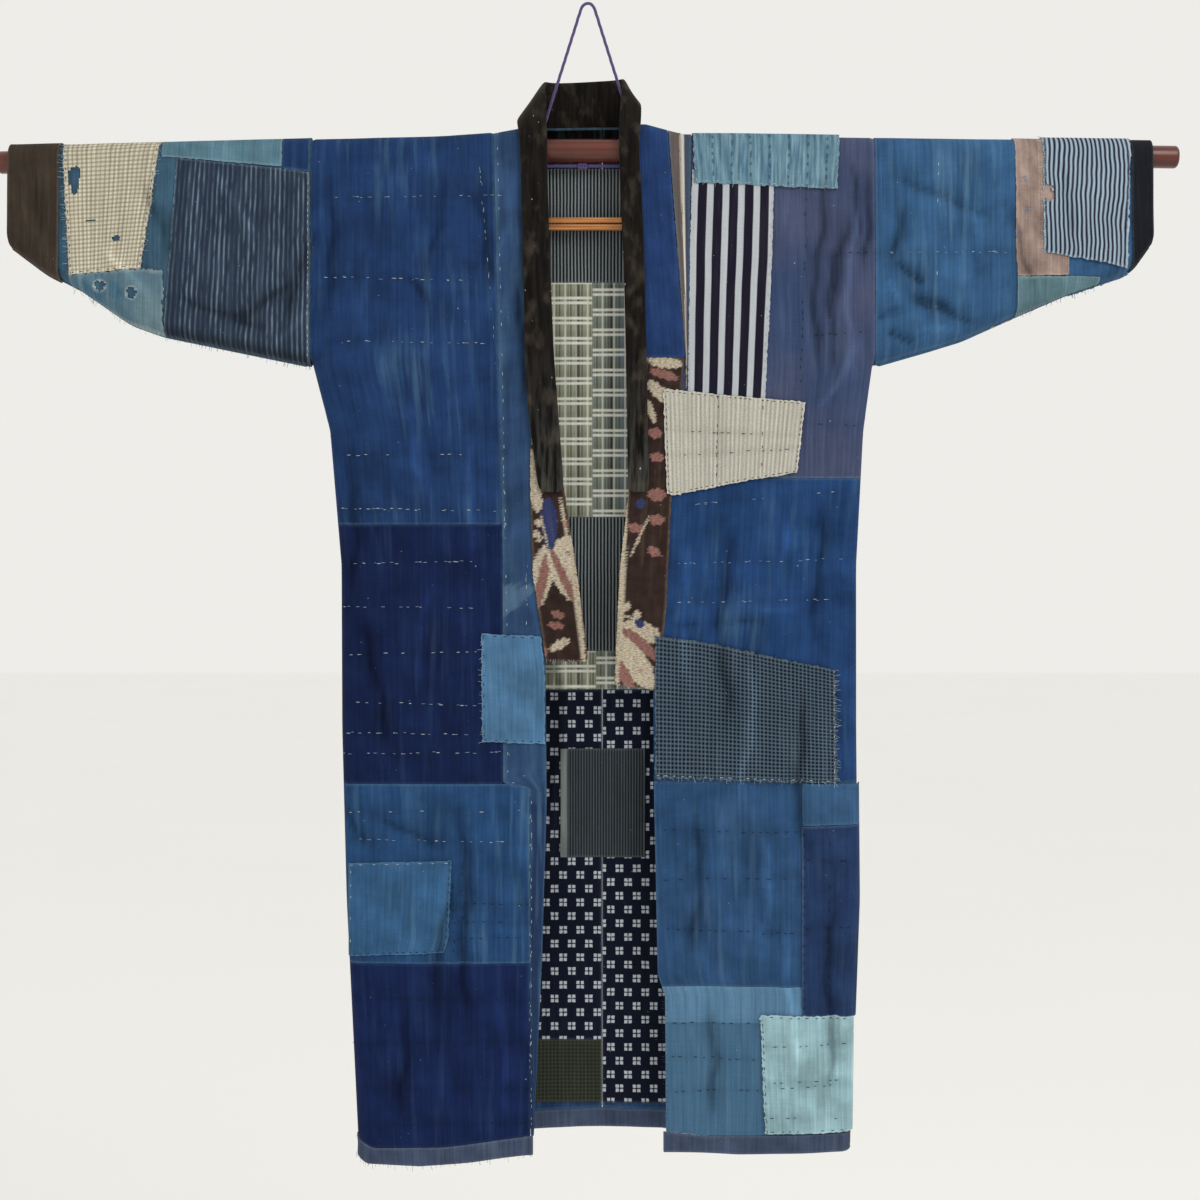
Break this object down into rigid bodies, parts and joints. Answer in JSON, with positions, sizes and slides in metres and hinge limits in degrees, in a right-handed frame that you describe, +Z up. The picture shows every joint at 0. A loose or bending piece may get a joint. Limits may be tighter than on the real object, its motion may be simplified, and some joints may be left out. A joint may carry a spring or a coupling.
{
  "type": "patched boro jacket on kimono hanger",
  "caption": "Open patched cotton work jacket with wide sleeves and a velvet collar, spread on a round lacquered hanger bar that hangs from a cord loop.",
  "frame": {"origin": "underside of the crown of the hanging cord, where the loop rests on its nail", "axes": "+Z up, the front of the jacket faces -Y, +X towards the viewer's right as seen from the front"},
  "size_m": [1.3102, 0.0622, 1.2841],
  "materials": {
    "indigo_mid": "washed indigo cotton",
    "indigo_dark": "dark indigo cotton",
    "indigo_faded": "faded indigo cotton",
    "overlap_blue": "worn blue cotton",
    "hem_grey": "grey violet binding",
    "brocade": "dark silk with a woven floral",
    "royal_blue": "plain blue cotton",
    "brown_strip": "brown and slate cotton",
    "purple_grey": "purple grey cotton",
    "teal": "worn teal cotton",
    "bold_stripe": "broad black and white stripe",
    "beige_rib": "ribbed beige cotton",
    "gingham": "fine dark gingham",
    "grey_blue": "grey blue cotton",
    "foot_teal": "blue teal cotton",
    "patch_navy": "navy cotton",
    "pale_teal": "pale worn teal cotton",
    "back_indigo": "washed indigo cotton",
    "lining_stripe": "fine striped lining",
    "lining_plaid": "plaid lining",
    "lining_kasuri": "navy lining with small white figures",
    "lining_olive": "olive striped lining",
    "lining_dark": "dark lining patch",
    "check_cream": "small brown check on cream",
    "wavy_stripe": "navy with fine wavy stripes",
    "cuff_brown": "brown black cotton",
    "cuff_black": "near black cotton",
    "pink_brown": "pink brown cotton",
    "fine_stripe": "fine black and white stripe",
    "velvet": "worn black velvet",
    "cord_purple": "twisted purple cord",
    "lacquer": "red brown lacquer",
    "bamboo": "light varnished wood"
  },
  "bodies": {
    "root": {"front_left_upper": "indigo_mid", "front_left_middle": "indigo_dark", "front_left_lower": "indigo_faded", "front_left_foot": "indigo_dark", "overlap_left": "overlap_blue", "hem_front_left": "hem_grey", "patch_left_waist": "overlap_blue", "patch_left_thigh": "indigo_faded", "brocade_left": "brocade", "front_right_upper": "purple_grey", "front_right_middle": "indigo_mid", "front_right_lower": "grey_blue", "front_right_foot": "foot_teal", "hem_front_right": "hem_grey", "strip_neck_royal": "royal_blue", "strip_neck_brown": "brown_strip", "patch_bold_stripe": "bold_stripe", "patch_shoulder_teal": "teal", "patch_beige_rib": "beige_rib", "patch_gingham": "gingham", "patch_side_small": "patch_navy", "patch_side_navy": "patch_navy", "patch_hem_pale": "pale_teal", "brocade_right": "brocade", "back_left": "back_indigo", "back_right": "back_indigo", "hem_back": "hem_grey", "lining_stripe_upper": "lining_stripe", "lining_plaid_left": "lining_plaid", "lining_plaid_right": "lining_plaid", "lining_stripe_lower": "lining_stripe", "lining_plaid_low_left": "lining_plaid", "lining_plaid_low_right": "lining_plaid", "lining_kasuri_left": "lining_kasuri", "lining_kasuri_right": "lining_kasuri", "lining_olive": "lining_olive", "lining_patch_dark": "lining_dark", "sleeve_left": "indigo_faded", "cuff_left": "cuff_brown", "sleeve_left_cap": "indigo_mid", "sleeve_left_teal": "teal", "sleeve_left_check": "check_cream", "sleeve_left_stripe": "wavy_stripe", "sleeve_left_worn": "teal", "sleeve_right": "indigo_mid", "cuff_right": "cuff_black", "sleeve_right_pink": "pink_brown", "sleeve_right_stripe": "fine_stripe", "sleeve_right_teal": "teal", "collar": "velvet", "bar_hub": "lacquer", "bar_arm_right": "lacquer", "bar_arm_left": "lacquer", "slat_upper": "bamboo", "slat_lower": "bamboo", "slat_strap_left": "lacquer", "slat_strap_right": "lacquer", "hang_cord": "cord_purple", "cord_knot": "cord_purple"}
  },
  "joints": []
}
